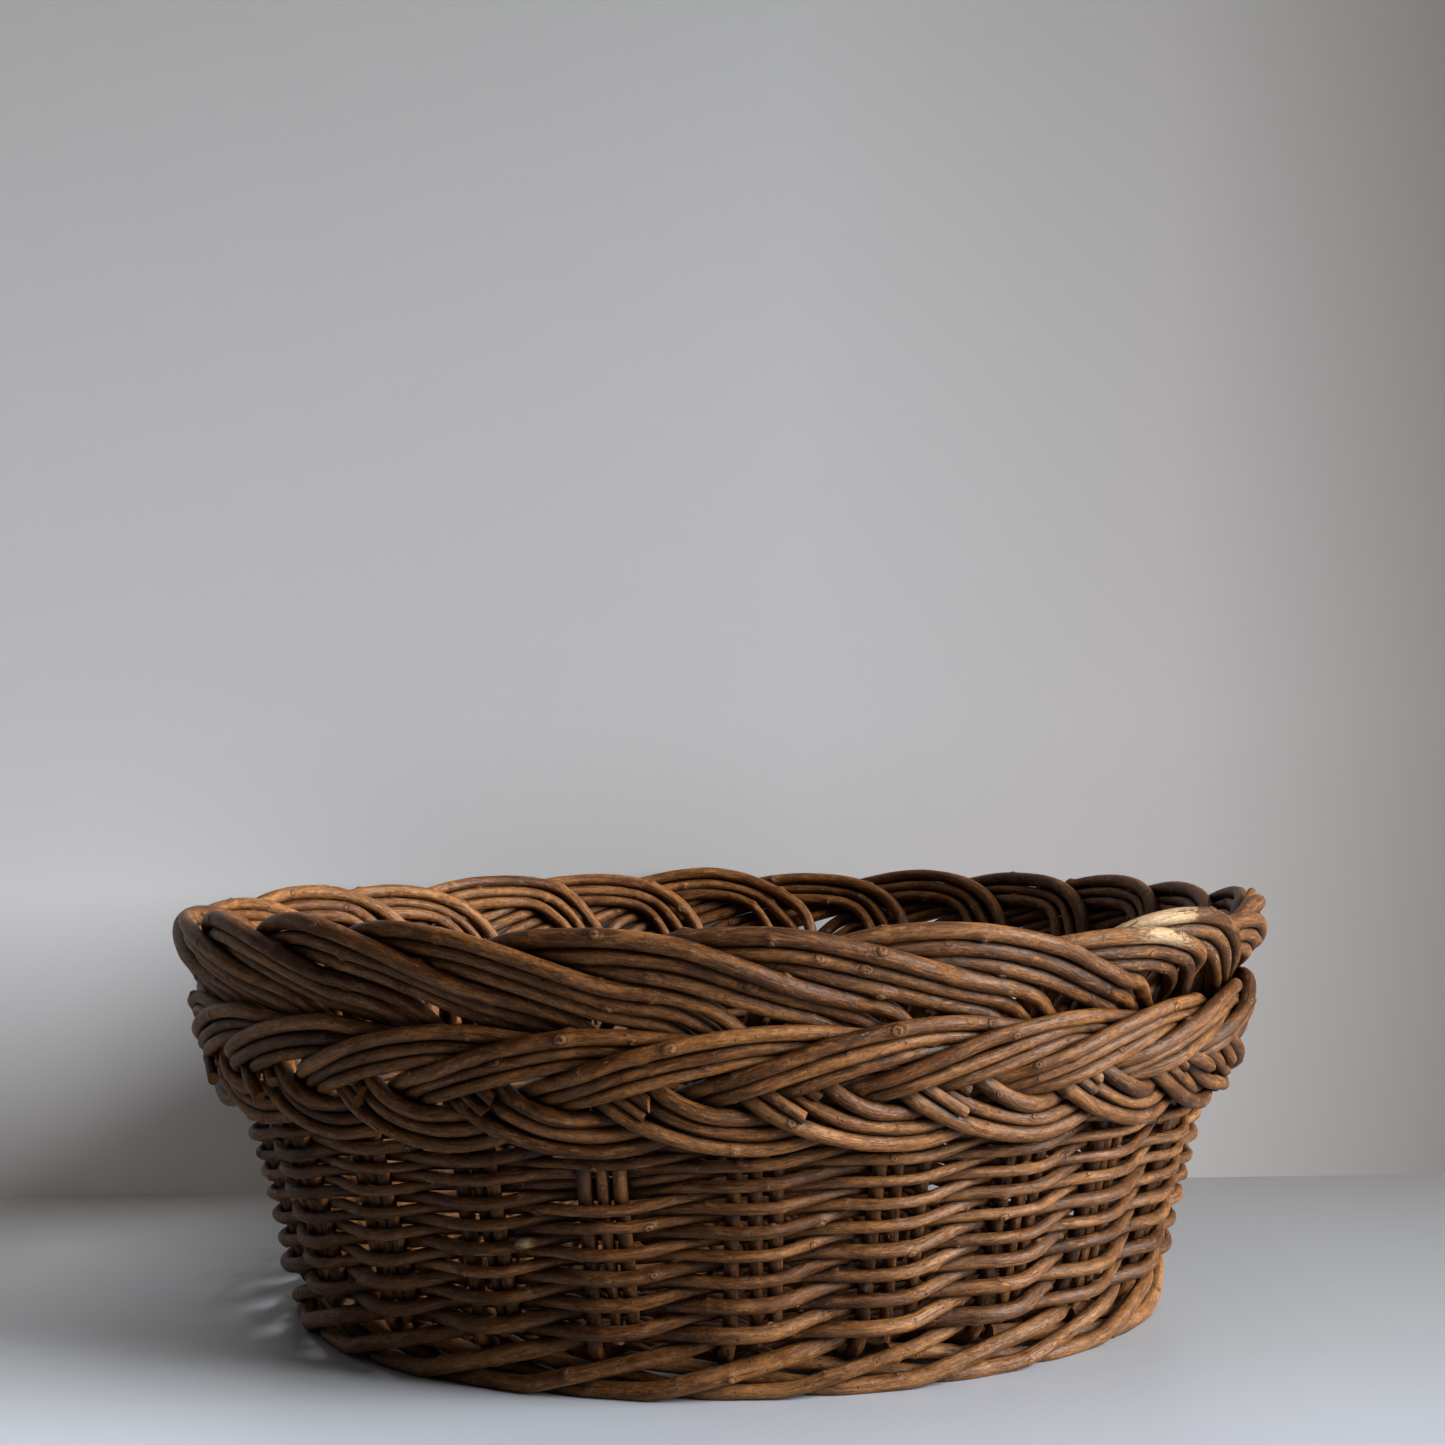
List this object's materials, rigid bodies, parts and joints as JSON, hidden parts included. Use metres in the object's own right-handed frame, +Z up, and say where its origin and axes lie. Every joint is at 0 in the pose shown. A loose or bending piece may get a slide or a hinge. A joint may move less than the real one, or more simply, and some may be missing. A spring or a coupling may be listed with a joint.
{
  "type": "woven wicker basket",
  "caption": "Round open basket woven from unpeeled willow rods, with a flared randed wall and a thick plaited border.",
  "frame": {"origin": "centre of the basket's footprint, on the plane the foot rods rest on", "axes": "+Z up out of the open mouth, -Y towards the front; the plait runs anticlockwise seen from above"},
  "size_m": [0.4634, 0.4634, 0.1716],
  "materials": {
    "border_willow": "satin bark",
    "wall_willow": "matt bark",
    "base_sticks": "matt bark",
    "base_weave": "matt bark"
  },
  "bodies": {
    "root": {"stake_group_01": "border_willow", "stake_group_02": "border_willow", "stake_group_03": "border_willow", "stake_group_04": "border_willow", "stake_group_05": "border_willow", "stake_group_06": "border_willow", "stake_group_07": "border_willow", "stake_group_08": "border_willow", "stake_group_09": "border_willow", "stake_group_10": "border_willow", "stake_group_11": "border_willow", "stake_group_12": "border_willow", "stake_group_13": "border_willow", "stake_group_14": "border_willow", "stake_group_15": "border_willow", "stake_group_16": "border_willow", "stake_group_17": "border_willow", "stake_group_18": "border_willow", "stake_group_19": "border_willow", "stake_group_20": "border_willow", "stake_group_21": "border_willow", "stake_group_22": "border_willow", "stake_group_23": "border_willow", "stake_group_24": "border_willow", "side_weaver_01": "wall_willow", "side_weaver_02": "wall_willow", "side_weaver_03": "wall_willow", "side_weaver_04": "wall_willow", "side_weaver_05": "wall_willow", "side_weaver_06": "wall_willow", "side_weaver_07": "wall_willow", "side_weaver_08": "wall_willow", "side_weaver_09": "wall_willow", "side_weaver_10": "wall_willow", "side_weaver_11": "wall_willow", "side_weaver_12": "wall_willow", "side_weaver_13": "wall_willow", "side_weaver_14": "wall_willow", "side_weaver_15": "wall_willow", "side_weaver_16": "wall_willow", "side_weaver_17": "wall_willow", "side_weaver_18": "wall_willow", "side_weaver_19": "wall_willow", "side_weaver_20": "wall_willow", "side_weaver_21": "wall_willow", "side_weaver_22": "wall_willow", "side_weaver_23": "wall_willow", "side_weaver_24": "wall_willow", "base_sticks_lower_1": "base_sticks", "base_sticks_lower_2": "base_sticks", "base_sticks_lower_3": "base_sticks", "base_sticks_upper_1": "base_sticks", "base_sticks_upper_2": "base_sticks", "base_sticks_upper_3": "base_sticks", "base_weave_1": "base_weave", "base_weave_2": "base_weave", "base_weave_3": "base_weave", "base_weave_4": "base_weave", "base_weave_5": "base_weave"}
  },
  "joints": []
}
